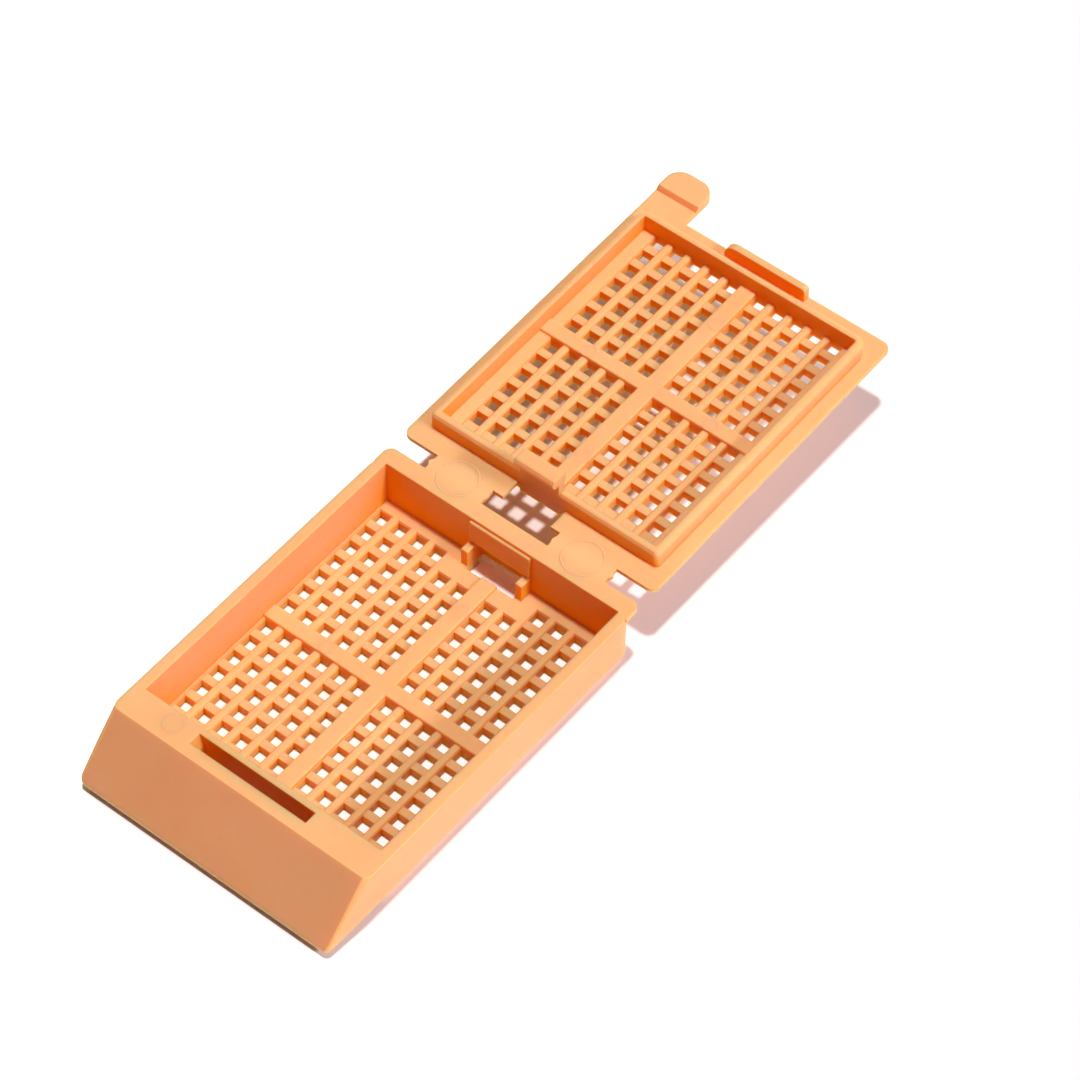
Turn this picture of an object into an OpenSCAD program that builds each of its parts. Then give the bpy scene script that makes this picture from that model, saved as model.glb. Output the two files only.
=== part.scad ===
// Tissue cassette with an attached lid: a shallow perforated tray with a sloped
// writing face, joined to a perforated lid by two thin hinge webs.  The whole
// object is one moulding in acetal plastic, shown with its lid laid open.
// Millimetres.  The origin is on the underside, below the crossing of the tray's
// two floor ribs.  +X runs across the tray, +Y from the writing face to the
// hinge, +Z up.

/* [Grid] */
// Side of a square drain hole
hole = 1.3; // [0.8:0.05:1.5]
// Distance between neighbouring holes
pitch = 2.125; // [1.9:0.025:2.25]
// Solid width between the holes on either side of the long rib
long_rib_land = 1.87; // [1.5:0.01:2.2]
// Solid width between the holes on either side of the cross rib
cross_rib_land = 1.70; // [1.4:0.01:2.1]
// Thickness of the perforated panels at their cross bars
panel_t = 1.0; // [0.8:0.05:1.3]
// Width of a raised long bar
bar_w = 0.72; // [0.5:0.02:0.8]
// Height of the long bars above the cross bars
bar_h = 0.16; // [0.1:0.02:0.4]
// Height of the two ribs above the cross bars
rib_h = 0.42; // [0.2:0.02:0.7]
// Edge rounding of bars, of ribs and of the hook's head
bar_round = 0.18; // [0.05:0.01:0.2]

/* [Tray] */
// Outside width of tray and lid
outer_w = 28.5; // [28:0.1:30]
// Height of the rim above the table
rim_z = 6.25; // [5.8:0.05:8]
// Thickness of the tray's side walls
side_wall = 1.1; // [0.8:0.05:1.25]
// Thickness of the tray's back wall
back_wall = 1.4; // [1.2:0.05:1.6]
// Thickness of the wall between the tray and the latch slot
front_wall = 0.55; // [0.4:0.05:0.8]
// Inside length of the tray
tray_l = 32.0; // [31.6:0.1:34]
// Distance from the grid's centre to the tray's centre
tray_shift = 0.2; // [0:0.05:0.4]
// Height of the walls' lower edge above the table
skirt_gap = 0.6; // [0.3:0.05:0.8]
// Rounding of the side walls' lower outer edge
foot_round = 0.9; // [0.3:0.1:1]
// Corner radius of the walls at the hinge end
back_corner_r = 2.5; // [1:0.1:3]
// Corner radius of the walls at the writing end
front_corner_r = 0.6; // [0.3:0.1:1.2]
// Thickness of the rim, the hinge webs and the lid's flange
flange_t = 0.45; // [0.35:0.05:0.7]
// How far the rim stands out behind the back wall
rim_overhang = 0.4; // [0.2:0.05:0.6]
// Corner radius of the rim and of the lid's flange
flange_corner_r = 0.9; // [0.4:0.1:1.4]

/* [Writing end] */
// Length of the flat land between the tray and the writing face
land_l = 3.1; // [2.8:0.1:4]
// Length that the writing face takes along the tray
slope_run = 5.0; // [4.5:0.1:5.5]
// Height of the upright lip below the writing face
nose_h = 0.45; // [0.3:0.05:1]
// How far the writing end narrows on each side towards its tip
nose_taper = 0.25; // [0:0.05:0.6]
// Edge rounding between the writing face and the sides
slope_edge_r = 0.6; // [0.2:0.1:1]
// Wall thickness of the hollow writing end
shell_t = 1.0; // [0.8:0.05:1.2]
// Length of the latch slot
slot_l = 13.0; // [11:0.1:15]
// Width of the latch slot
slot_w = 1.28; // [1.1:0.02:1.5]
// How far each end of the slot slopes inwards as it goes down
slot_ramp = 0.9; // [0.2:0.1:1.5]
// Thickness of the two gussets inside the writing end
gusset_t = 0.9; // [0.6:0.1:1.2]

/* [Hook catch] */
// Width of the window in the back wall
window_w = 5.4; // [5:0.1:6]
// Height of the window's top edge above the table
window_z = 3.32; // [3:0.02:3.4]
// Thickness of the skin that closes the window at the back
window_skin = 0.5; // [0.4:0.05:0.6]
// Distance that the floor opening reaches in from the back wall
window_reach = 1.65; // [1.3:0.05:1.9]
// Width of the catch plate above the window
catch_w = 6.8; // [6.2:0.1:7.4]
// How far the catch plate stands out from the back wall
catch_t = 0.28; // [0.25:0.01:0.45]
// Distance from the rim down to the top of the catch plate
catch_drop = 0.36; // [0.2:0.02:0.8]
// Width of each post beside the window
post_w = 0.75; // [0.6:0.05:1]
// Distance that each post stands in from the back wall
post_reach = 1.35; // [1:0.05:1.6]
// Gap between the posts and the window's top edge
post_drop = 0.25; // [0.1:0.05:0.6]

/* [Hinge] */
// Distance from the rim's edge to the fold line
web_half = 0.9; // [0.6:0.01:1]
// Distance between the outer edges of the two hinge webs
webs_w = 20.3; // [19:0.1:22]
// Width of the opening between the two hinge webs
webs_gap = 7.6; // [7:0.1:8.4]
// Thickness left at the fold line
fold_t = 0.25; // [0.2:0.05:0.35]
// Width of the groove under the fold line
groove_w = 0.8; // [0.4:0.05:1]
// How far each web bulges sideways at the fold line
web_bulge = 0.3; // [0:0.05:0.4]
// Upward slope of the open lid, in degrees
lid_tilt = 1.5; // [0:0.5:6]

/* [Lid] */
// Length of the lid from the fold line to its far edge
lid_l = 36.2; // [36:0.05:36.6]
// Running gap between the lid's ridge and the tray's walls
ridge_gap = 0.25; // [0.15:0.01:0.4]
// Running gap between the lid's ridge and the tray's back wall
ridge_back_gap = 0.4; // [0.38:0.01:0.6]
// Running gap between the lid's ridge and the tray's front wall
ridge_front_gap = 0.45; // [0.3:0.01:0.6]
// Thickness of the ridge around the lid's grid
ridge_t = 0.78; // [0.5:0.05:0.9]
// Height of the ridge above the flange
ridge_h = 1.83; // [1.2:0.01:2.2]
// Rounding of the ridge's outer top edge, and of its corners at the hinge end
ridge_round = 0.5; // [0.2:0.05:0.5]
// Radius of the ridge's corners at the far end
ridge_corner_r = 1.2; // [1.1:0.1:1.6]
// Distance from the flange's face down to the lid's cross bars
lid_grid_drop = 0.2; // [0:0.02:0.3]

/* [Lid hook] */
// Width of the hook
hook_w = 4.5; // [4:0.1:5.2]
// Thickness of the hook's upright wall
hook_t = 0.75; // [0.5:0.05:0.9]
// Height of the hook above the flange
hook_h = 4.1; // [3.8:0.05:4.3]
// Height of the underside of the hook's lip above the flange
lip_z = 2.98; // [2.9:0.02:3.1]
// How far the lip stands out from the hook's wall
lip_reach = 0.82; // [0.4:0.02:0.84]
// How far the hook's head stands out behind its wall
head_back = 0.15; // [0.05:0.05:0.3]
// How far the hook sits off the centre line, away from the finger tab
hook_shift = -0.3; // [-0.3:0.05:0]

/* [Lid latch and tab] */
// Length of the latch tongue
latch_l = 9.2; // [8:0.1:10.4]
// How far the latch tongue sits off the centre line, away from the finger tab
latch_shift = 0.2; // [0:0.05:0.4]
// Thickness of the latch tongue
latch_t = 0.7; // [0.5:0.02:0.8]
// Height of the latch tongue above the flange
latch_h = 1.5; // [1.2:0.05:2.4]
// Radius of the latch's top corner on the finger tab's side
latch_corner_r = 1.3; // [0.5:0.1:1.4]
// Radius of the latch's other top corner
latch_end_r = 0.4; // [0.2:0.1:1.4]
// Width of the finger tab
tab_w = 4.75; // [3.5:0.05:6]
// Length of the finger tab beyond the lid's edge
tab_l = 4.9; // [4:0.05:5.6]
// Length of the raised pad at the tab's end
tab_pad_l = 3.2; // [2:0.1:3.4]
// Height of the raised pad
tab_pad_h = 0.42; // [0.2:0.02:0.45]
// Corner radius of the tab
tab_corner_r = 1.6; // [0.8:0.05:2]

/* [Hidden] */
$fn = 48;

plastic = [0.99, 0.70, 0.42];
columns = 6;          // hole columns on each side of the tray's long rib
lid_columns = 5;      // the lid has one column fewer on each side
rows = 7;             // hole rows on each side of the cross rib
skipped_columns = 2;  // holes left out beside the floor opening, on each side
through = 0.5;        // how far a cut runs past the faces that it opens
slot_lip = 0.05;      // the latch slot starts this far in front of the tray's front wall
sunk = 0.3;           // how far bars, ribs and posts are rooted in what carries them
bar_root = 0.2;       // how far the long bars run into the raised border
border_drop = 0.02;   // the border lies this much below and behind the bars
rib_margin = 0.05;    // plain strip between a rib and the holes on each side of it
ridge_inner_r = 0.2;  // corner radius inside the lid's ridge

tray_w = outer_w - 2 * side_wall;
tray_y0 = tray_shift - tray_l / 2;
tray_y1 = tray_shift + tray_l / 2;
wall_y1 = tray_y1 + back_wall;
rim_y1 = wall_y1 + rim_overhang;
fold_y = rim_y1 + web_half;
land_y0 = tray_y0 - land_l;
nose_y = land_y0 - slope_run;
nose_z = skirt_gap + nose_h;
slot_y1 = tray_y0 - front_wall - slot_lip;
slot_y0 = slot_y1 - slot_w;
window_y0 = tray_y1 - window_reach;
catch_y0 = tray_y1 - catch_t;

first_col = (long_rib_land + hole) / 2;
first_row = (cross_rib_land + hole) / 2;
field_w = pitch - bar_w + 2 * border_drop;

// Lid sizes, measured from the fold line along the lid and from its flange's face
near_edge = web_half;
ridge_y0 = fold_y - tray_y1 + ridge_back_gap;
ridge_y1 = fold_y - tray_y0 - ridge_front_gap;
ridge_w = tray_w - 2 * ridge_gap;
lid_grid_y = (ridge_y0 + ridge_y1) / 2;
lid_grid_top = -lid_grid_drop;
latch_y0 = lid_l - latch_t;

// Rectangle with one corner radius at its low-y end and another at its high-y end
module rounded_rect(x0, x1, y0, y1, r0, r1) {
    translate([x0, y0 + r0]) square([x1 - x0, y1 - y0 - r0 - r1]);
    for (end = [[y0, r0, 1], [y1, r1, -1]]) if (end[1] > 0) {
        r = end[1];
        centre = end[0] + end[2] * r;
        translate([x0 + r, min(end[0], centre)]) square([x1 - x0 - 2 * r, r]);
        for (x = [x0 + r, x1 - r]) translate([x, centre]) circle(r);
    }
}

// Bar along Y from y0 to y1, with its two top edges rounded
module long_bar(x, w, y0, y1, z0, z1) {
    translate([x, y1, z0]) rotate([90, 0, 0]) linear_extrude(y1 - y0)
        bar_section(w, z1 - z0);
}

// Bar along X from x0 to x1, with its two top edges rounded
module cross_bar(y, w, x0, x1, z0, z1) {
    translate([x0, y, z0]) rotate([90, 0, 90]) linear_extrude(x1 - x0)
        bar_section(w, z1 - z0);
}

module bar_section(w, h) {
    translate([-w / 2, 0]) square([w, h - bar_round]);
    translate([-w / 2 + bar_round, 0]) square([w - 2 * bar_round, h]);
    for (s = [-1, 1])
        translate([s * (w / 2 - bar_round), h - bar_round]) circle(bar_round, $fn = 24);
}

// Square through-holes in four blocks; skip leaves out the inner holes of the last row
module holes(cols, skip, z0, z1) {
    for (sx = [-1, 1], sy = [-1, 1], i = [0 : cols - 1], j = [0 : rows - 1])
        if (!(sy > 0 && j == rows - 1 && i < skip))
            translate([sx * (first_col + i * pitch) - hole / 2,
                       sy * (first_row + j * pitch) - hole / 2, z0])
                cube([hole, hole, z1 - z0]);
}

// Hole rows in one column; skip shortens the inner columns on the +Y side
function rows_in(side, column, skip) = rows - (side > 0 && column < skip ? 1 : 0);

// The four sunken fields around the holes, drawn flat
module sunken_fields(cols, skip) {
    for (sx = [-1, 1], sy = [-1, 1], i = [0 : cols - 1]) {
        x0 = first_col + i * pitch - field_w / 2;
        y0 = first_row - field_w / 2;
        length = (rows_in(sy, i, skip) - 1) * pitch + field_w;
        mirror([sx < 0 ? 1 : 0, 0]) mirror([0, sy < 0 ? 1 : 0]) {
            translate([x0, y0]) square([field_w, length]);
            if (i > 0)
                translate([x0 - pitch, y0])
                    square([pitch + field_w, (rows_in(sy, i - 1, skip) - 1) * pitch + field_w]);
        }
    }
}

// Raised border around the sunken fields, with the long bars that cross them
module raised_lattice(cols, skip, half_w, y0, y1, top) {
    translate([0, 0, top - sunk]) linear_extrude(sunk + bar_h - border_drop) difference() {
        translate([-half_w, y0]) square([2 * half_w, y1 - y0]);
        sunken_fields(cols, skip);
    }
    for (sx = [-1, 1], sy = [-1, 1], i = [0 : cols - 2]) {
        start = first_row - field_w / 2 - bar_root;
        end = first_row + (rows_in(sy, i, skip) - 1) * pitch + field_w / 2 + bar_root;
        long_bar(sx * (first_col + (i + 0.5) * pitch), bar_w, sy > 0 ? start : -end,
                 sy > 0 ? end : -start, top - sunk, top + bar_h);
    }
}

// The rib along Y and the rib along X, which cross at the middle of the grid
module ribs(half_w, y0, y1, top) {
    long_bar(0, long_rib_land - 2 * rib_margin, y0, y1, top - sunk, top + rib_h);
    cross_bar(0, cross_rib_land - 2 * rib_margin, -half_w, half_w, top - sunk, top + rib_h);
}

module writing_end_hollow() {
    wall_run = shell_t * norm([slope_run, rim_z - nose_z]) / (rim_z - nose_z);
    drop = shell_t * norm([slope_run, rim_z - nose_z]) / slope_run;
    roof = rim_z - shell_t;
    roof_y = land_y0 - slope_run * (drop - shell_t) / (nose_z - rim_z);
    nose_in = nose_y + shell_t;
    nose_top = rim_z - drop - (land_y0 - nose_in) * (rim_z - nose_z) / slope_run;
    wall_y = slot_y1 + slot_lip;
    profile = [[wall_y, -through], [wall_y, roof], [roof_y, roof],
               [nose_in, max(nose_top, skirt_gap)], [nose_in, -through]];
    inner_w = slot_l - slot_ramp;
    side_w = tray_w / 2 - inner_w / 2 - gusset_t;
    for (span = [[-tray_w / 2, side_w], [-inner_w / 2, inner_w], [tray_w / 2 - side_w, side_w]])
        translate([span[0], 0, 0]) rotate([90, 0, 90]) linear_extrude(span[1]) polygon(profile);
}

// Latch slot down through the land; its ends slope inwards and then run straight down
module latch_slot() {
    depth = 2 * shell_t + slot_ramp;
    ends = slot_l / 2;
    bottom = ends - slot_ramp;
    translate([0, slot_y1, rim_z]) rotate([90, 0, 0]) linear_extrude(slot_w)
        polygon([[-ends, through], [ends, through], [ends, 0], [bottom, -depth],
                 [bottom, -rim_z - through], [-bottom, -rim_z - through],
                 [-bottom, -depth], [-ends, 0]]);
}

// Outline seen from above; the writing end narrows a little towards its tip
module tray_outline() {
    r = front_corner_r;
    half = outer_w / 2;
    tip = half - nose_taper;
    rounded_rect(-half, half, land_y0, wall_y1, 0, back_corner_r);
    polygon([[-half, land_y0], [half, land_y0], [tip, nose_y + r], [tip - r, nose_y],
             [r - tip, nose_y], [-tip, nose_y + r]]);
    for (s = [-1, 1]) translate([s * (tip - r), nose_y + r]) circle(r);
}

// Everything below the plane of the writing face, with that plane's side edges rounded
module under_slope() {
    reach = outer_w + tray_l;
    angle = atan((rim_z - nose_z) / slope_run);
    translate([0, land_y0, rim_z]) rotate([angle, 0, 0])
        rotate([90, 0, 0]) translate([0, 0, -reach]) linear_extrude(2 * reach) {
            translate([-outer_w / 2, -reach]) square([outer_w, reach - slope_edge_r]);
            translate([slope_edge_r - outer_w / 2, -reach])
                square([outer_w - 2 * slope_edge_r, reach]);
            for (s = [-1, 1])
                translate([s * (outer_w / 2 - slope_edge_r), -slope_edge_r]) circle(slope_edge_r);
        }
}

// What is cut from the foot of both side walls, so that it rounds inwards
module foot_roundings() {
    reach = outer_w + tray_l;
    for (s = [0, 1]) mirror([s, 0, 0])
        translate([outer_w / 2 - foot_round, reach, skirt_gap + foot_round])
            rotate([90, 0, 0]) linear_extrude(2 * reach) difference() {
                translate([0, -foot_round - through])
                    square([foot_round + through, foot_round + through]);
                circle(foot_round);
            }
}

module tray_shell() {
    difference() {
        intersection() {
            translate([0, 0, skirt_gap]) linear_extrude(rim_z - skirt_gap) tray_outline();
            under_slope();
        }
        translate([-tray_w / 2, tray_y0, -through])
            cube([tray_w, tray_l, rim_z + 2 * through]);
        writing_end_hollow();
        latch_slot();
        foot_roundings();
    }
}

module tray_floor() {
    half_w = tray_w / 2 + sunk;
    y0 = tray_y0 - sunk;
    y1 = tray_y1 + sunk;
    translate([-half_w, y0, 0]) cube([2 * half_w, y1 - y0, panel_t]);
    raised_lattice(columns, skipped_columns, half_w, y0, y1, panel_t);
    ribs(half_w, y0, window_y0 + sunk, panel_t);
}

// Thin rim behind the back wall and the tray's half of the two hinge webs
module tray_rim() {
    difference() {
        translate([0, 0, rim_z - flange_t]) linear_extrude(flange_t)
            rounded_rect(-outer_w / 2, outer_w / 2, tray_y1 - sunk, rim_y1,
                         0, flange_corner_r);
        translate([-tray_w / 2, tray_y0, 0]) cube([tray_w, tray_l, rim_z + through]);
    }
    translate([0, fold_y, rim_z]) mirror([0, 1, 0]) webs_half();
}

// Half of both hinge webs, from the fold line to the flange that carries them
module webs_half() {
    slope = (flange_t - fold_t) / (groove_w / 2);
    reach = near_edge + flange_corner_r;
    for (s = [-1, 1]) intersection() {
        translate([0, 0, -flange_t]) linear_extrude(flange_t)
            polygon([[s * (webs_gap / 2 - web_bulge / 2), 0], [s * webs_gap / 2, near_edge / 2],
                     [s * webs_gap / 2, reach], [s * webs_w / 2, reach],
                     [s * webs_w / 2, near_edge / 2], [s * (webs_w / 2 + web_bulge), 0]]);
        translate([-outer_w / 2, 0, 0]) rotate([90, 0, 90]) linear_extrude(outer_w)
            polygon([[0, 0], [0, -fold_t], [groove_w / 2, -fold_t - slope * groove_w / 2],
                     [reach, -flange_t], [reach, 0]]);
    }
}

// Plate over the window in the back wall, and the two posts beside the window
module hook_catch() {
    translate([-catch_w / 2, catch_y0, window_z])
        cube([catch_w, catch_t + sunk, rim_z - catch_drop - window_z]);
    for (s = [-1, 1])
        translate([s * (window_w + post_w) / 2 - post_w / 2, tray_y1 - post_reach, panel_t - sunk])
            cube([post_w, post_reach + sunk, window_z - post_drop - panel_t + sunk]);
}

module base_tray() {
    color(plastic) difference() {
        union() {
            tray_shell();
            tray_floor();
            tray_rim();
            hook_catch();
        }
        holes(columns, skipped_columns, -through, panel_t + rib_h + through);
        translate([-window_w / 2, window_y0, -through])
            cube([window_w, wall_y1 - window_skin - window_y0, window_z + through]);
    }
}

// Ridge around the lid's grid, with its outer top edge rounded all the way round
module ridge() {
    foot = (lid_grid_drop + flange_t) / 2;
    r = ridge_round;
    turn = ridge_corner_r - r;
    half_w = ridge_w / 2;
    difference() {
        union() {
            translate([0, 0, -foot]) linear_extrude(foot + ridge_h - r)
                rounded_rect(-half_w, half_w, ridge_y0, ridge_y1, r, ridge_corner_r);
            linear_extrude(ridge_h)
                rounded_rect(-half_w + r, half_w - r, ridge_y0 + r, ridge_y1 - r, 0, turn);
            for (x = [-half_w + r, half_w - r]) {
                translate([x, ridge_y1 - ridge_corner_r, ridge_h - r]) rotate([90, 0, 0])
                    cylinder(h = ridge_y1 - ridge_corner_r - ridge_y0 - r, r = r);
                translate([x, ridge_y0 + r, ridge_h - r]) sphere(r);
            }
            for (end = [[ridge_y0 + r, r], [ridge_y1 - r, ridge_corner_r]])
                translate([-half_w + end[1], end[0], ridge_h - r]) rotate([0, 90, 0])
                    cylinder(h = ridge_w - 2 * end[1], r = r);
            for (x = [-half_w + ridge_corner_r, half_w - ridge_corner_r])
                translate([x, ridge_y1 - ridge_corner_r, ridge_h - r])
                    rotate_extrude() translate([turn, 0]) circle(r);
        }
        translate([0, 0, -foot - through]) linear_extrude(ridge_h + foot + 2 * through)
            rounded_rect(-half_w + ridge_t, half_w - ridge_t, ridge_y0 + ridge_t,
                         ridge_y1 - ridge_t, ridge_inner_r, ridge_inner_r);
    }
}

module lid_panel() {
    edge = ridge_t / 4;
    half_w = ridge_w / 2 - edge;
    y0 = ridge_y0 + edge - lid_grid_y;
    y1 = ridge_y1 - edge - lid_grid_y;
    translate([0, lid_grid_y, 0]) {
        translate([0, 0, lid_grid_top - panel_t]) linear_extrude(panel_t)
            rounded_rect(-half_w, half_w, y0, y1, front_corner_r, front_corner_r);
        raised_lattice(lid_columns, 0, half_w - edge, y0 + edge, y1 - edge, lid_grid_top);
        ribs(half_w - edge, y0 + edge, y1 - edge, lid_grid_top);
    }
}

module lid_flange() {
    inset = ridge_t / 2;
    inner = ridge_w / 2 - inset;
    difference() {
        union() {
            translate([0, 0, -flange_t]) linear_extrude(flange_t)
                rounded_rect(-outer_w / 2, outer_w / 2, near_edge, lid_l,
                             flange_corner_r, flange_corner_r);
            finger_tab();
        }
        translate([0, 0, -flange_t - through]) linear_extrude(flange_t + 2 * through)
            rounded_rect(-inner, inner, ridge_y0 + inset, ridge_y1 - inset, inset, inset);
        translate([-window_w / 2, near_edge - through, -flange_t - through])
            cube([window_w, ridge_y0 - near_edge + through, flange_t + 2 * through]);
    }
    webs_half();
}

// Flat tab with a raised pad; the pad's near end slopes as the writing face does, so that
// it lies along that face when the lid is shut
module finger_tab() {
    x0 = -outer_w / 2;
    x1 = x0 + tab_w;
    root_y = lid_l - 2 * tab_corner_r;
    tip_y = lid_l + tab_l;
    pad_y = tip_y - tab_pad_l;
    ramp = tab_pad_h * slope_run / (rim_z - nose_z);
    translate([0, 0, -flange_t]) linear_extrude(flange_t)
        rounded_rect(x0, x1, root_y, tip_y, flange_t, tab_corner_r);
    intersection() {
        translate([0, 0, -flange_t / 2]) linear_extrude(flange_t / 2 + tab_pad_h)
            rounded_rect(x0, x1, pad_y, tip_y, 0, tab_corner_r);
        translate([x0, 0, 0]) rotate([90, 0, 90]) linear_extrude(tab_w)
            polygon([[pad_y, -flange_t], [pad_y, 0], [pad_y + ramp, tab_pad_h],
                     [pad_y + ramp, 2 * tab_pad_h], [tip_y + through, 2 * tab_pad_h],
                     [tip_y + through, -flange_t]]);
    }
}

// Upright wall with a thick head that folds over into a round lip towards the hinge
module hook() {
    nose_r = (hook_h - lip_z) / 2;
    nose_y = ridge_y0 - lip_reach + nose_r;
    back = ridge_y0 + hook_t + head_back;
    root = lid_grid_top - panel_t;
    translate([hook_shift - hook_w / 2, 0, 0]) rotate([90, 0, 90]) linear_extrude(hook_w) {
        translate([ridge_y0, root]) square([hook_t, lip_z + nose_r - root]);
        translate([nose_y, lip_z]) square([back - nose_y, 2 * nose_r - bar_round]);
        translate([nose_y, lip_z]) square([back - bar_round - nose_y, 2 * nose_r]);
        translate([nose_y, lip_z + nose_r]) circle(nose_r);
        translate([back - bar_round, hook_h - bar_round]) circle(bar_round, $fn = 24);
    }
}

// Upright tongue, each of whose two top corners has a radius of its own
module latch() {
    half = latch_l / 2;
    root = flange_t / 2;
    translate([latch_shift, latch_y0 + latch_t, 0]) rotate([90, 0, 0]) linear_extrude(latch_t)
        intersection() {
            translate([-half, -root]) square([latch_l, latch_h + root]);
            union() {
                translate([-half, -root]) square([half, latch_h - latch_corner_r + root]);
                translate([0, -root]) square([half, latch_h - latch_end_r + root]);
                translate([-half + latch_corner_r, -root])
                    square([latch_l - latch_corner_r - latch_end_r, latch_h + root]);
                translate([-half + latch_corner_r, latch_h - latch_corner_r])
                    circle(latch_corner_r);
                translate([half - latch_end_r, latch_h - latch_end_r]) circle(latch_end_r);
            }
        }
}

module lid() {
    color(plastic) translate([0, fold_y, rim_z]) rotate([lid_tilt, 0, 0]) {
        difference() {
            union() {
                lid_flange();
                lid_panel();
            }
            translate([0, lid_grid_y, 0])
                holes(lid_columns, 0, lid_grid_top - panel_t - through,
                      lid_grid_top + rib_h + through);
        }
        ridge();
        hook();
        latch();
    }
}

base_tray();
lid();
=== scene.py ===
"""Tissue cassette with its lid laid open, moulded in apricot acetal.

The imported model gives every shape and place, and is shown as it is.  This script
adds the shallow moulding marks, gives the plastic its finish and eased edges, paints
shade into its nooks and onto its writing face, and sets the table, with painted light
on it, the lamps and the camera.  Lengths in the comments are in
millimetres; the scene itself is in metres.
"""

import math

import bpy
import numpy as np
from mathutils import Matrix, Vector
from mathutils.bvhtree import BVHTree


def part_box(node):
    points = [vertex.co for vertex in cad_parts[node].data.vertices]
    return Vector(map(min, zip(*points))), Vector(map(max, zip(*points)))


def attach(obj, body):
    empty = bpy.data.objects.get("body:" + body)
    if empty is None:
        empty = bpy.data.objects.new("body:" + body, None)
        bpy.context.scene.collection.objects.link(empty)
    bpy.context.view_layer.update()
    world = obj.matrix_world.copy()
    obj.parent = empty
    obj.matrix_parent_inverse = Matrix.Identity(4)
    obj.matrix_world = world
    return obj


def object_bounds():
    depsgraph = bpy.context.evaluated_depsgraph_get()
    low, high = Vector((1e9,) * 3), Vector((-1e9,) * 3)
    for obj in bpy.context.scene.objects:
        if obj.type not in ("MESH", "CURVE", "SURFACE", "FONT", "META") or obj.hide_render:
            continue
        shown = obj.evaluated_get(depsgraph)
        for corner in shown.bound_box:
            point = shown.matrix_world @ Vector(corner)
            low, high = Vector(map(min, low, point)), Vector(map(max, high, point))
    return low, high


MM = 0.001

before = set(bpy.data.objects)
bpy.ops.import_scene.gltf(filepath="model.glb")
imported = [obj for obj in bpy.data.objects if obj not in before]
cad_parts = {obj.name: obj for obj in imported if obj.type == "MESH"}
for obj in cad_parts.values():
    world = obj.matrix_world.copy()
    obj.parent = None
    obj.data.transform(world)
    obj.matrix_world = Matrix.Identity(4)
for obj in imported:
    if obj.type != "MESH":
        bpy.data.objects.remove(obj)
cad_low, cad_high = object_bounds()


# ---------------------------------------------------------------- camera

LENS_MM = 143.626
SENSOR_MM = 36.0
CAMERA_PLACE = (147.401, -165.405, 304.429)
CAMERA_TURN_DEG = (38.0664, -0.4083, 38.7402)
CLIP_NEAR, CLIP_FAR = 0.01, 20.0


def place_camera():
    """One long lens, high above the tray's right-hand side and the writing end."""
    data = bpy.data.cameras.new("camera")
    data.lens = LENS_MM
    data.sensor_width = SENSOR_MM
    data.clip_start, data.clip_end = CLIP_NEAR, CLIP_FAR
    camera = bpy.data.objects.new("camera", data)
    camera.location = [c * MM for c in CAMERA_PLACE]
    camera.rotation_euler = [math.radians(a) for a in CAMERA_TURN_DEG]
    bpy.context.scene.collection.objects.link(camera)
    bpy.context.scene.camera = camera


# ---------------------------------------------------------------- shader nodes

def new_tree(name):
    """An empty material and its node tree."""
    material = bpy.data.materials.new(name)
    material.use_nodes = True
    material.node_tree.nodes.clear()
    return material, material.node_tree


def put(tree, kind, inputs=None, **settings):
    """Add one node, with its settings first and then each input set or linked."""
    made = tree.nodes.new(kind)
    for name, value in settings.items():
        setattr(made, name, value)
    for name, value in (inputs or {}).items():
        if isinstance(value, bpy.types.NodeSocket):
            tree.links.new(value, made.inputs[name])
        else:
            made.inputs[name].default_value = value
    return made


def remap(tree, value, low, high, to_low=0.0, to_high=1.0, **settings):
    """The value's place between low and high, carried to between to_low and to_high."""
    made = put(tree, "ShaderNodeMapRange", {
        "Value": value, "From Min": low, "From Max": high,
        "To Min": to_low, "To Max": to_high}, **settings)
    return made.outputs["Result"]


def calculate(tree, operation, first, *second):
    """One Math node; the second value is left out where the operation has none."""
    inputs = dict(enumerate((first, *second)))
    return put(tree, "ShaderNodeMath", inputs, operation=operation).outputs["Value"]


def blend(tree, factor, first, second, **settings):
    """First where the factor is 0, second where it is 1."""
    inputs = {"Factor": factor, "A": first, "B": second}
    return put(tree, "ShaderNodeMix", inputs, **settings).outputs["Result"]


def facing(tree, normal, direction):
    """How far a normal, or a ray, points along a direction."""
    return put(tree, "ShaderNodeVectorMath", {0: normal, 1: direction},
               operation="DOT_PRODUCT").outputs["Value"]


# ---------------------------------------------------------------- plastic

# the pale body colour drifts between these two, in clouds of about a centimetre
APRICOT_DEEP = (0.93, 0.430, 0.175, 1)
APRICOT_PALE = (0.95, 0.460, 0.195, 1)
CLOUD_SCALE, CLOUD_DETAIL = 110.0, 3.0
CLOUD_EDGES = (0.35, 0.65)
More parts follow.
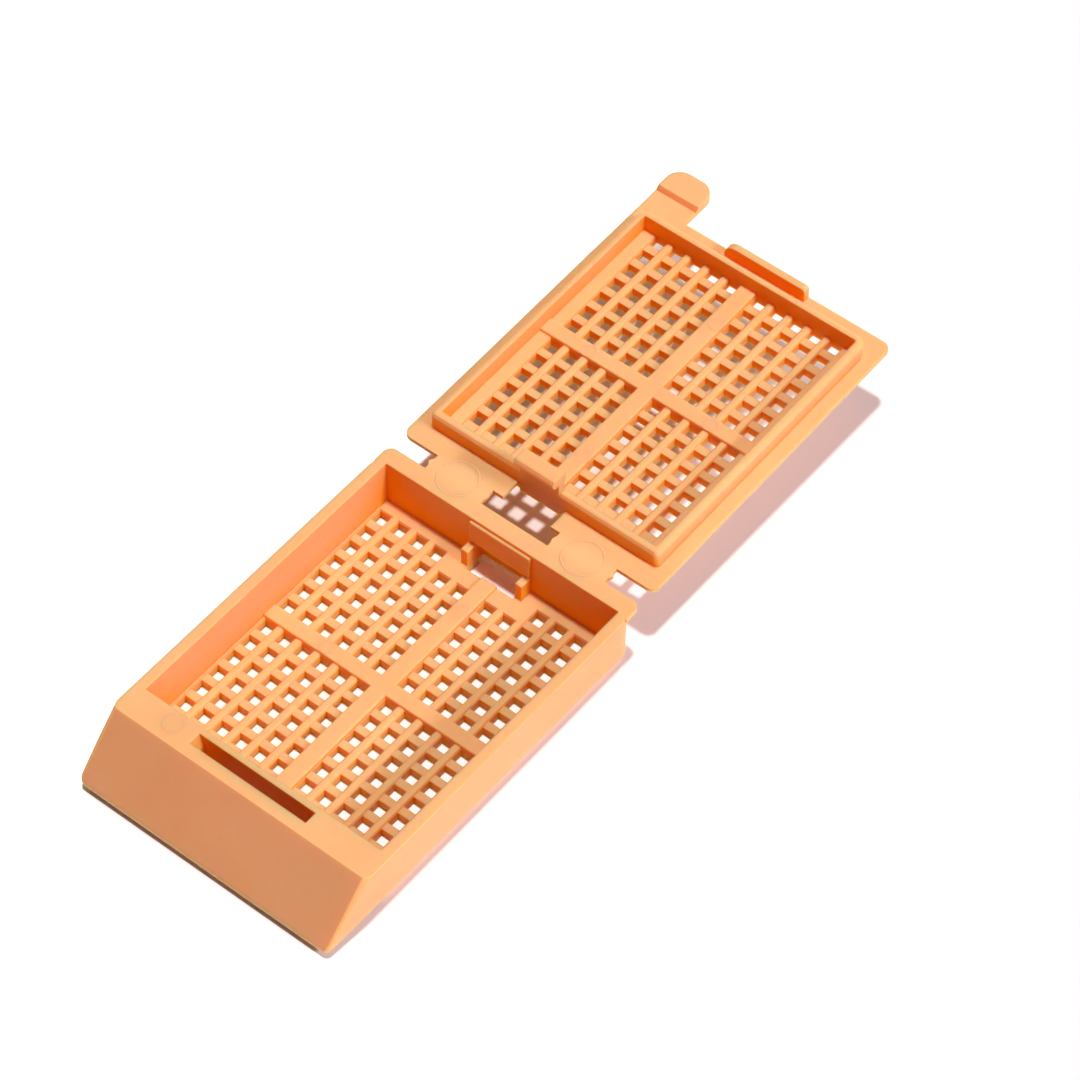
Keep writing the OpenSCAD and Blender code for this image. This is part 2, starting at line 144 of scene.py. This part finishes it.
# painted shade: sheltered upright faces are painted the clear orange that the plastic shows in
# deep shade
PAINTED_SHADE_ORANGE = (1.00, 0.320, 0.000, 1)
PAINTED_SHADE_REACH = 6.0 * MM
PAINTED_SHADE_SAMPLES = 8
PAINTED_SHADE_RANGE = (0.45, 0.88)
PAINTED_LIT_SIDE = (0.12, 0.18, 0.0)        # painted light: faces turned this way, towards the side lamp, keep more of the pale colour
DEPTH_OF_COLOUR = (1.6, 0.7, 0.20)   # how far red, green and blue light wander inside
WRITING_FACE_PAINTED_SHADE = (0.81, 0.76, 0.79, 1)  # painted shade: the writing face is painted darker than the rest, for the less light its slope gets
WRITING_RUN, WRITING_FALL = 5.0, 5.2
WRITING_FACE_NORMAL = Vector((0.0, -WRITING_FALL, WRITING_RUN)).normalized()
WRITING_FACE_SHADE_FACING = (0.985, 0.995)       # how nearly a face points that way to take the painted shade at all, and to take it fully
                                     # and to be etched fully
REFRACTION = 1.48
GLOSS = 0.25
GRAIN_SCALE, GRAIN_DETAIL = 5200.0, 2.0
GRAIN_ROUGHNESS = (0.44, 0.56)
GRAIN_STRENGTH, GRAIN_HEIGHT = 0.10, 0.02 * MM
EDGE_EASE = 0.14 * MM                # how far the moulded edges' rounding reaches
EDGE_SAMPLES = 6
FOLD_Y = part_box("base_tray")[1].y    # the living hinge, where the two halves are one skin
FOLD_BLEND = 0.2 * MM, 1.6 * MM      # edges and depth fade out this close to it


def body_colour(tree, place):
    """Apricot with faint flow clouding."""
    cloud = put(tree, "ShaderNodeTexNoise", {
        "Scale": CLOUD_SCALE, "Detail": CLOUD_DETAIL, "Vector": place.outputs["Object"]})
    tint = put(tree, "ShaderNodeValToRGB", {"Fac": cloud.outputs["Fac"]})
    for end, edge, colour in zip(tint.color_ramp.elements, CLOUD_EDGES,
                                 (APRICOT_DEEP, APRICOT_PALE)):
        end.position = edge
        end.color = colour
    return tint.outputs["Color"]


def painted_lit_share(tree, place, least):
    """Painted light and shade: from least in a sheltered upright face to 1 in the open and on
    faces that look up.
    """
    nook = put(tree, "ShaderNodeAmbientOcclusion", {"Distance": PAINTED_SHADE_REACH},
               only_local=True, samples=PAINTED_SHADE_SAMPLES)
    normal = place.outputs["Normal"]
    shelter = calculate(tree, "ADD", nook.outputs["AO"], facing(tree, normal, PAINTED_LIT_SIDE))
    upward = put(tree, "ShaderNodeSeparateXYZ", {"Vector": normal}).outputs["Z"]
    return calculate(tree, "MAXIMUM", remap(tree, shelter, *PAINTED_SHADE_RANGE, to_low=least), upward)


def away_from_fold(tree, place, most):
    """0 at the fold, most beyond the blend."""
    along = put(tree, "ShaderNodeSeparateXYZ", {"Vector": place.outputs["Object"]})
    off = calculate(tree, "SUBTRACT", along.outputs["Y"], FOLD_Y)
    return remap(tree, calculate(tree, "ABSOLUTE", off), *FOLD_BLEND, to_high=most,
                 interpolation_type="SMOOTHSTEP")


def acetal(name, depth):
    """Matte moulded acetal: spark-eroded grain, faint flow clouding, a little depth, and painted
    shade in its nooks and on its writing face.

    With no depth it is for the thin lines, which take no painted shade in nooks either.
    """
    material, tree = new_tree(name)
    place = put(tree, "ShaderNodeTexCoord")
    off_fold = away_from_fold(tree, place, depth)

    # painted shade: nooks get the deep orange; open faces and faces that look up get the pale
    # body colour
    painted_lit_amount = painted_lit_share(tree, place, 0.0 if depth else 1.0)
    colour = blend(tree, painted_lit_amount, PAINTED_SHADE_ORANGE, body_colour(tree, place), data_type="RGBA")
    # painted shade on the sloping writing face
    painted_face_shade = remap(tree, facing(tree, place.outputs["Normal"], WRITING_FACE_NORMAL),
                   *WRITING_FACE_SHADE_FACING)
    colour = blend(tree, painted_face_shade, colour, WRITING_FACE_PAINTED_SHADE, data_type="RGBA", blend_type="MULTIPLY")

    grain = put(tree, "ShaderNodeTexNoise", {
        "Scale": GRAIN_SCALE, "Detail": GRAIN_DETAIL, "Vector": place.outputs["Object"]})
    ease = put(tree, "ShaderNodeBevel", {"Radius": EDGE_EASE}, samples=EDGE_SAMPLES)
    surface = put(tree, "ShaderNodeNewGeometry")
    rounded = blend(tree, off_fold, surface.outputs["Normal"], ease.outputs["Normal"],
                    data_type="VECTOR")
    bump = put(tree, "ShaderNodeBump", {
        "Strength": GRAIN_STRENGTH, "Distance": GRAIN_HEIGHT,
        "Height": grain.outputs["Fac"], "Normal": rounded})

    plastic = put(tree, "ShaderNodeBsdfPrincipled", {
        "IOR": REFRACTION,
        "Specular IOR Level": GLOSS,
        "Subsurface Radius": DEPTH_OF_COLOUR,
        "Subsurface Scale": MM,
        "Subsurface Weight": off_fold,
        "Base Color": colour,
        "Roughness": remap(tree, grain.outputs["Fac"], 0.0, 1.0, *GRAIN_ROUGHNESS),
        "Normal": bump.outputs["Normal"]})
    put(tree, "ShaderNodeOutputMaterial", {"Surface": plastic.outputs["BSDF"]})
    return material


# ---------------------------------------------------------------- moulding marks

# width and most height of the raised line round a mark
HINGE_LINE = 0.20 * MM, 0.020 * MM
PIN_LINE = 0.12 * MM, 0.010 * MM
# most that a line rises for its distance from the fold, so that the shut webs lie flat;
# it keeps the gate marks' lines to about a micrometre, well under their height
FOLD_RISE = 0.0005
LINE_TURNS, LINE_SIDES = 96, 8       # points round a line, and round its section
ABOVE_PART = 1.0                     # height in metres that the face is probed from
# turn in degrees of the tray's and the lid's half of a gate mark, clear of the fold, and
# how far off the fold each half's face is probed
TRAY_HALF, TRAY_PROBE = (188, 352), -0.5
LID_HALF, LID_PROBE = (8, 172), 0.5
FULL_TURN = (0, 360)
# distance from the middle, distance from the fold, radius
HINGE_MARKS = (-7.07, 0.0, 1.93), (7.07, 0.0, 1.93)
TRAY_PIN_MARKS = (0.0, -8.40, 0.68), (-6.50, -18.90, 0.68), (-8.90, -35.90, 0.95)
LID_PIN_MARKS = (-7.0, 18.60, 0.68), (6.9, 18.60, 0.68), (0.15, 28.20, 0.68), (0.15, 8.75, 0.68)


def surface_of(node):
    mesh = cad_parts[node].data
    return BVHTree.FromPolygons([v.co for v in mesh.vertices],
                                [p.vertices for p in mesh.polygons])


def upper_face(surface, x, y, probe_y):
    """Point and frame of a moulding's upper face at a mark's centre.

    The face is found at probe_y and carried on to y along its slope.
    """
    hit, out = surface.ray_cast(Vector((x, probe_y, ABOVE_PART)), Vector((0, 0, -1)))[:2]
    centre = Vector((x, y, hit.z - out.y / out.z * (y - probe_y)))
    along = Vector((1, 0, 0))
    return np.array(centre), np.array(along), np.array(out.cross(along)), np.array(out)


def line_faces(closed):
    """Faces round one raised line; one that is not closed gets a face at each end."""
    turns, sides = LINE_TURNS, LINE_SIDES
    i = np.arange(turns if closed else turns - 1)[:, None] * sides
    j = np.arange(sides)[None, :]
    k, following = (j + 1) % sides, (i + sides) % (turns * sides)
    quads = np.stack(np.broadcast_arrays(i + j, following + j, following + k, i + k), -1)
    faces = quads.reshape(-1, 4).tolist()
    if not closed:
        faces.append(list(range(sides)))
        faces.append([(turns - 1) * sides + n for n in reversed(range(sides))])
    return faces


def raised_lines(name, node, marks, line, turn_deg, probe, material):
    """Raised lines round pin and gate marks, half sunk in the moulding.

    At turn t and section angle s a point stands radius plus half the width times
    cos s out from the centre, and its rise times sin s above the face.  The rise is
    the height, or less near the fold.
    """
    width, height = line
    first, last = (math.radians(a) for a in turn_deg)
    closed = turn_deg == FULL_TURN
    t = np.linspace(first, last, LINE_TURNS, endpoint=not closed)[:, None]
    s = np.linspace(0, 2 * math.pi, LINE_SIDES, endpoint=False)[None, :]
    surface = surface_of(node)
    verts, faces = [], []
    for x, from_fold, radius in marks:
        centre, along, across, out = upper_face(
            surface, x * MM, FOLD_Y + from_fold * MM, FOLD_Y + (from_fold + probe) * MM)
        reach = radius * MM + width / 2 * np.cos(s)
        off_fold = np.abs(from_fold * MM + reach * np.sin(t))
        rise = np.minimum(height, FOLD_RISE * off_fold)
        grid = (centre + (reach * np.cos(t))[..., None] * along
                + (reach * np.sin(t))[..., None] * across
                + (rise * np.sin(s))[..., None] * out)
        base = len(verts)
        verts.extend(grid.reshape(-1, 3).tolist())
        faces.extend([base + n for n in face] for face in line_faces(closed))
    mesh = bpy.data.meshes.new(name)
    mesh.from_pydata(verts, [], faces)
    mesh.shade_smooth()
    mesh.materials.append(material)
    piece = bpy.data.objects.new(name, mesh)
    bpy.context.scene.collection.objects.link(piece)
    return piece


# ---------------------------------------------------------------- table and light

TABLE_SIZE = 6.0
TABLE_DROP = 0.02 * MM               # keeps the table clear of the part's foot
TABLE_GREY = (0.85, 0.85, 0.85, 1)   # the table's own colour, for light bounced off it
# what the camera sees, with painted light in it: the open table, warm so that its shadows
# come out pink, and then the tint, X span and Y span of the brighter patches, which wash out
# the side lamp's shadow left of the cassette and whiten the ground under the tray, in
# millimetres
TABLE_OPEN_PAINTED_WARM = (0.93, 0.84, 0.81, 1)
FAR_LEFT = -TABLE_SIZE / 2 / MM
PAST_THE_VIEW = (-1000.0, 1000.0)
TABLE_PAINTED_LIGHT_PATCHES = (
    ((1.42, 1.42, 1.42, 1), (FAR_LEFT, cad_low.x / MM), PAST_THE_VIEW),
    ((1.25, 1.15, 1.14, 1), (-12.6, 12.6), (-15.3, 17.0)),
)
TABLE_BLEND = 1.5                    # millimetres over which a patch fades out
# level in watts per square metre, spread, turn about X, Y and Z, colour
LAMPS = {
    "key": (2.30, 4.5, (-4.0, -1.0, 0.0), (1.0, 1.0, 1.0)),
    "side": (2.00, 9.0, (0.0, 57.0, 5.0), (1.0, 1.0, 1.14)),
}
# strength of the room for each kind of ray, from its dim side to its bright side
ROOM_LEVELS = {
    "light on the object": (0.0, 0.16),
    "Is Glossy Ray": (0.0, 0.5),
    "Is Camera Ray": (1.0, 1.0),
}
ROOM_BRIGHT_SIDE = (0.45, 0.55, 0.70)


def past_span(tree, coordinate, span):
    """0 inside a span in millimetres, 1 beyond the blend around it."""
    low, high = span
    middle, half = (low + high) / 2, (high - low) / 2
    off = calculate(tree, "SUBTRACT", coordinate, middle * MM)
    return remap(tree, calculate(tree, "ABSOLUTE", off), half * MM, (half + TABLE_BLEND) * MM)


def table_with_painted_light():
    """White table that keeps the shadows, with painted light in what the camera sees: a warm
    tint that shows only in the shadows, and brighter patches to the left of the cassette, over
    the side lamp's shadow, and under the tray, seen through its drain holes."""
    material, tree = new_tree("table_with_painted_light")
    place = put(tree, "ShaderNodeTexCoord")
    across = put(tree, "ShaderNodeSeparateXYZ", {"Vector": place.outputs["Object"]})
    # painted light: the warm open table shows only in the shadows, then the brighter patches
    # over it
    seen = TABLE_OPEN_PAINTED_WARM
    for tint, x_span, y_span in TABLE_PAINTED_LIGHT_PATCHES:
        outside = calculate(tree, "MAXIMUM", past_span(tree, across.outputs["X"], x_span),
                            past_span(tree, across.outputs["Y"], y_span))
        seen = blend(tree, outside, tint, seen, data_type="RGBA")
    path = put(tree, "ShaderNodeLightPath")
    shade = blend(tree, path.outputs["Is Camera Ray"], TABLE_GREY, seen, data_type="RGBA")
    matte = put(tree, "ShaderNodeBsdfDiffuse", {"Color": shade})
    put(tree, "ShaderNodeOutputMaterial", {"Surface": matte.outputs["BSDF"]})
    return material


def lay_table(material):
    """A square far wider than the view, just below the part's foot."""
    half = TABLE_SIZE / 2
    mesh = bpy.data.meshes.new("table")
    mesh.from_pydata([(-half, -half, 0), (half, -half, 0), (half, half, 0), (-half, half, 0)],
                     [], [(0, 1, 2, 3)])
    mesh.transform(Matrix.Translation((0, 0, cad_low.z - TABLE_DROP)))
    mesh.materials.append(material)
    table = bpy.data.objects.new("table", mesh)
    bpy.context.scene.collection.objects.link(table)


def sun(name, level, spread_deg, turn_deg, colour):
    data = bpy.data.lights.new(name, "SUN")
    data.energy = level
    data.angle = math.radians(spread_deg)
    data.color = colour
    lamp = bpy.data.objects.new(name, data)
    lamp.rotation_euler = [math.radians(a) for a in turn_deg]
    bpy.context.scene.collection.objects.link(lamp)


def light_scene():
    """A near-overhead key, a broad side light from +X, and a dim white room."""
    for name, lamp in LAMPS.items():
        sun(name, *lamp)
    world = bpy.data.worlds.new("room")
    bpy.context.scene.world = world
    world.use_nodes = True
    tree = world.node_tree
    place = put(tree, "ShaderNodeTexCoord")
    brightness = facing(tree, place.outputs["Generated"], ROOM_BRIGHT_SIDE)
    path = put(tree, "ShaderNodeLightPath")
    strength = None
    for ray, (dim, bright) in ROOM_LEVELS.items():
        level = remap(tree, brightness, -1.0, 1.0, dim, bright)
        strength = level if strength is None else blend(tree, path.outputs[ray], strength, level)
    back = tree.nodes["Background"]
    back.inputs["Color"].default_value = (1.0, 1.0, 1.0, 1)
    tree.links.new(strength, back.inputs["Strength"])


# ---------------------------------------------------------------- put together

place_camera()
bpy.context.scene.view_settings.view_transform = "Standard"

plastic = acetal("acetal", 1.0)
for moulding in ("base_tray", "lid"):
    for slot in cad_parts[moulding].material_slots:
        slot.material = plastic

line_plastic = acetal("acetal_thin_line", 0.0)
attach(raised_lines("tray_hinge_marks", "base_tray", HINGE_MARKS, HINGE_LINE,
                     TRAY_HALF, TRAY_PROBE, line_plastic), "base")
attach(raised_lines("lid_hinge_marks", "lid", HINGE_MARKS, HINGE_LINE,
                     LID_HALF, LID_PROBE, line_plastic), "lid")
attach(raised_lines("tray_pin_marks", "base_tray", TRAY_PIN_MARKS, PIN_LINE,
                     FULL_TURN, 0.0, line_plastic), "base")
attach(raised_lines("lid_pin_marks", "lid", LID_PIN_MARKS, PIN_LINE,
                     FULL_TURN, 0.0, line_plastic), "lid")

lay_table(table_with_painted_light())
light_scene()
